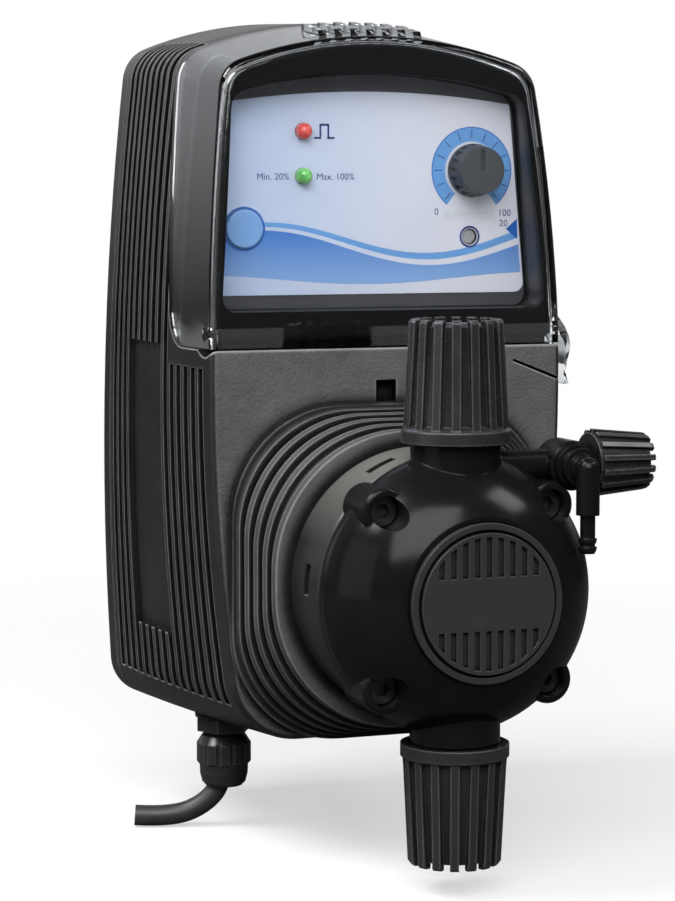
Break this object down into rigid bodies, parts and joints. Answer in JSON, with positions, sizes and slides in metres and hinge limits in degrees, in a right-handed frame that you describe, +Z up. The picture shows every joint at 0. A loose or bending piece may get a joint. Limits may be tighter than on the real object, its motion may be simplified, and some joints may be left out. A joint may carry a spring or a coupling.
{
  "type": "diaphragm metering pump",
  "caption": "Wall-mounted solenoid diaphragm metering pump: ribbed plastic housing, clear hinged panel door, domed head with union nuts, bleed valve and a mains cord.",
  "frame": {"origin": "centre of the wall bracket's four screw holes, on the wall plane", "axes": "+Z up, the front with the pump head faces -Y, +X to the right seen from the front"},
  "size_m": [0.1267, 0.1886, 0.2589],
  "materials": {
    "case_black": "moulded, fine grain",
    "door_clear": "clear, polished",
    "panel_black": "matt",
    "label_print": "printed film",
    "red_lens": "translucent lens",
    "green_lens": "translucent lens",
    "knob_grey": "satin",
    "button_pale": "satin",
    "head_black": "glossy moulded",
    "cap_grey": "satin",
    "nut_black": "satin",
    "membrane": "smooth",
    "seal_rubber": "matt",
    "steel": "bright",
    "solenoid_steel": "black coating",
    "copper": "enamelled wire",
    "ceramic_ball": "polished",
    "board_green": "solder mask",
    "component_black": "moulded",
    "cord_black": "satin sheath"
  },
  "bodies": {
    "housing": {"front_case": "case_black", "rear_cover": "case_black", "wall_bracket": "case_black", "bracket_screws": "steel", "case_gasket": "seal_rubber", "case_screws": "steel", "door_pins": "case_black", "panel_fascia": "panel_black", "panel_label": "label_print", "red_led": "red_lens", "green_led": "green_lens", "circuit_board": "board_green", "board_screws": "steel", "potentiometer": "component_black", "tact_switches": "component_black", "solenoid_pot": "solenoid_steel", "solenoid_coil": "copper", "pole_piece": "solenoid_steel", "return_spring": "steel", "lantern": "head_black", "diaphragm": "membrane", "pump_head": "head_black", "head_cap": "cap_grey", "head_screws": "steel", "discharge_cage": "component_black", "suction_cage": "component_black", "valve_seals": "seal_rubber", "bleed_body": "head_black", "gland_body": "nut_black", "gland_locknut": "nut_black", "gland_nut": "nut_black", "gland_seal": "seal_rubber", "power_cord": "cord_black"},
    "door_lid": {"door": "door_clear"},
    "dial": {"dial_knob": "knob_grey", "dial_shaft": "steel"},
    "start_key": {"start_button": "button_pale"},
    "range_key": {"range_button": "button_pale"},
    "plunger": {"armature": "steel", "push_rod": "steel", "diaphragm_disc": "steel"},
    "discharge_check": {"discharge_ball": "ceramic_ball"},
    "suction_check": {"suction_ball": "ceramic_ball"},
    "discharge_hose_tail": {"discharge_tail": "nut_black"},
    "discharge_union": {"discharge_nut": "nut_black"},
    "suction_hose_tail": {"suction_tail": "nut_black"},
    "suction_union": {"suction_nut": "nut_black"},
    "bleed_stem": {"bleed_needle": "component_black"},
    "bleed_handle": {"bleed_knob": "nut_black"},
    "bleed_outlet": {"bleed_elbow": "head_black"}
  },
  "joints": [
    {"name": "door_hinge", "type": "hinge", "parent": "housing", "child": "door_lid", "pos_m": [0, -0.107, 0.027], "axis": [1, 0, 0], "range_deg": [0, 68]},
    {"name": "dial_turn", "type": "hinge", "parent": "housing", "child": "dial", "pos_m": [0.034, -0.095, 0.0758], "axis": [0, 1, 0], "range_deg": [-135, 135]},
    {"name": "start_press", "type": "slide", "parent": "housing", "child": "start_key", "axis": [0, 1, 0], "range_m": [0, 0.0005], "stiffness_N_per_m": 600},
    {"name": "range_press", "type": "slide", "parent": "housing", "child": "range_key", "axis": [0, 1, 0], "range_m": [0, 0.0005], "stiffness_N_per_m": 600},
    {"name": "plunger_stroke", "type": "slide", "parent": "housing", "child": "plunger", "axis": [0, -1, 0], "range_m": [0, 0.0012], "stiffness_N_per_m": 4000, "deforming": ["return_spring", "diaphragm"]},
    {"name": "discharge_lift", "type": "slide", "parent": "housing", "child": "discharge_check", "axis": [0, 0, 1], "range_m": [0, 0.0015]},
    {"name": "suction_lift", "type": "slide", "parent": "housing", "child": "suction_check", "axis": [0, 0, 1], "range_m": [0, 0.0015]},
    {"name": "discharge_tail_travel", "type": "slide", "parent": "housing", "child": "discharge_hose_tail", "axis": [0, 0, 1], "range_m": [0, 0.00182]},
    {"name": "discharge_nut_turn", "type": "hinge", "parent": "discharge_hose_tail", "child": "discharge_union", "pos_m": [0, -0.164, 0.01], "axis": [0, 0, 1], "range_deg": [0, 360]},
    {"name": "suction_tail_travel", "type": "slide", "parent": "housing", "child": "suction_hose_tail", "axis": [0, 0, -1], "range_m": [0, 0.00182]},
    {"name": "suction_nut_turn", "type": "hinge", "parent": "suction_hose_tail", "child": "suction_union", "pos_m": [0, -0.164, -0.102], "axis": [0, 0, -1], "range_deg": [0, 360]},
    {"name": "bleed_stem_travel", "type": "slide", "parent": "housing", "child": "bleed_stem", "axis": [1, 0, 0], "range_m": [0, 0.0011]},
    {"name": "bleed_knob_turn", "type": "hinge", "parent": "bleed_stem", "child": "bleed_handle", "pos_m": [0.05, -0.164, -0.0097], "axis": [1, 0, 0], "range_deg": [0, 360]},
    {"name": "bleed_outlet_swivel", "type": "hinge", "parent": "housing", "child": "bleed_outlet", "pos_m": [0.0342, -0.171, -0.0097], "axis": [0, -1, 0], "range_deg": [0, 120]}
  ],
  "couplings": [
    {"joint": "discharge_tail_travel", "follows": "discharge_nut_turn", "m_per_rad": 0.00028871},
    {"joint": "suction_tail_travel", "follows": "suction_nut_turn", "m_per_rad": 0.00028871},
    {"joint": "bleed_stem_travel", "follows": "bleed_knob_turn", "m_per_rad": 0.00015915}
  ]
}
